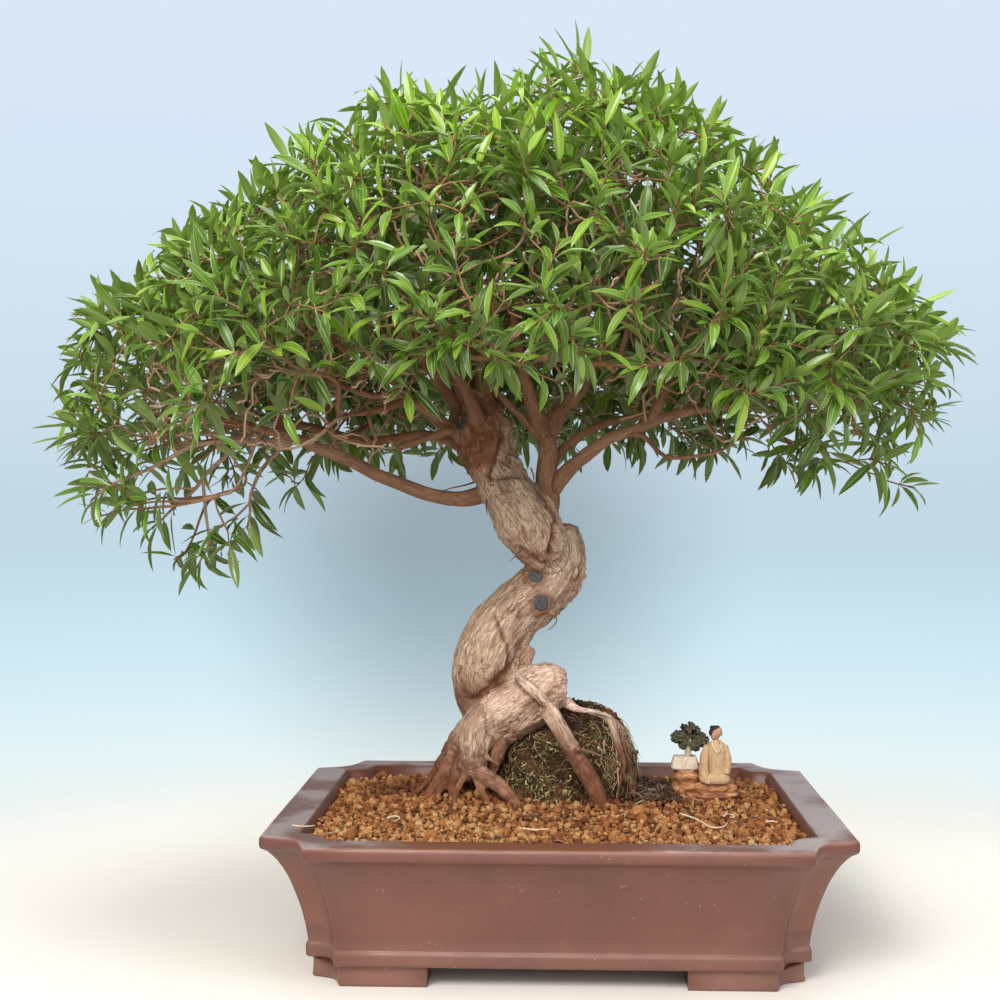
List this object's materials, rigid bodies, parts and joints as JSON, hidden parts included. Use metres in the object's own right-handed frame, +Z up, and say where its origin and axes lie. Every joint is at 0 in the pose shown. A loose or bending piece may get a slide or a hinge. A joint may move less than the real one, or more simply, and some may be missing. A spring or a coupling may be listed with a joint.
{
  "type": "willow leaf fig bonsai",
  "caption": "Willow leaf fig bonsai with a twisted trunk and wide leafy crown, growing over a moss ball in a long unglazed stoneware pot with a small mud figure.",
  "frame": {"origin": "middle of the whole object's box, on the plane that the pot's feet stand on", "axes": "+Z up, +X to the right along the pot's length, -Y towards the viewer, out of the pot's front"},
  "size_m": [0.9038, 0.6046, 0.8333],
  "materials": {
    "stoneware": "satin",
    "clay_grains": "matte",
    "peat_moss": "matte",
    "bark": "matte",
    "foliage": "satin",
    "rock": "matte",
    "mud_figure": "matte",
    "mud_green": "matte"
  },
  "bodies": {
    "root": {"pot": "stoneware", "soil": "clay_grains", "moss_ball": "peat_moss", "tree": "bark", "figure_rock": "rock", "figure_man": "mud_figure", "figure_tree": "mud_green", "spray_01": "foliage", "spray_02": "foliage", "spray_03": "foliage", "spray_04": "foliage", "spray_05": "foliage", "spray_06": "foliage", "spray_07": "foliage", "spray_08": "foliage", "spray_09": "foliage", "spray_10": "foliage", "spray_11": "foliage", "spray_12": "foliage", "spray_13": "foliage", "spray_14": "foliage", "spray_15": "foliage", "spray_16": "foliage", "spray_17": "foliage", "spray_18": "foliage", "spray_19": "foliage", "spray_20": "foliage", "spray_21": "foliage", "spray_22": "foliage", "spray_23": "foliage", "spray_24": "foliage", "spray_25": "foliage", "spray_26": "foliage", "spray_27": "foliage", "spray_28": "foliage"}
  },
  "joints": []
}
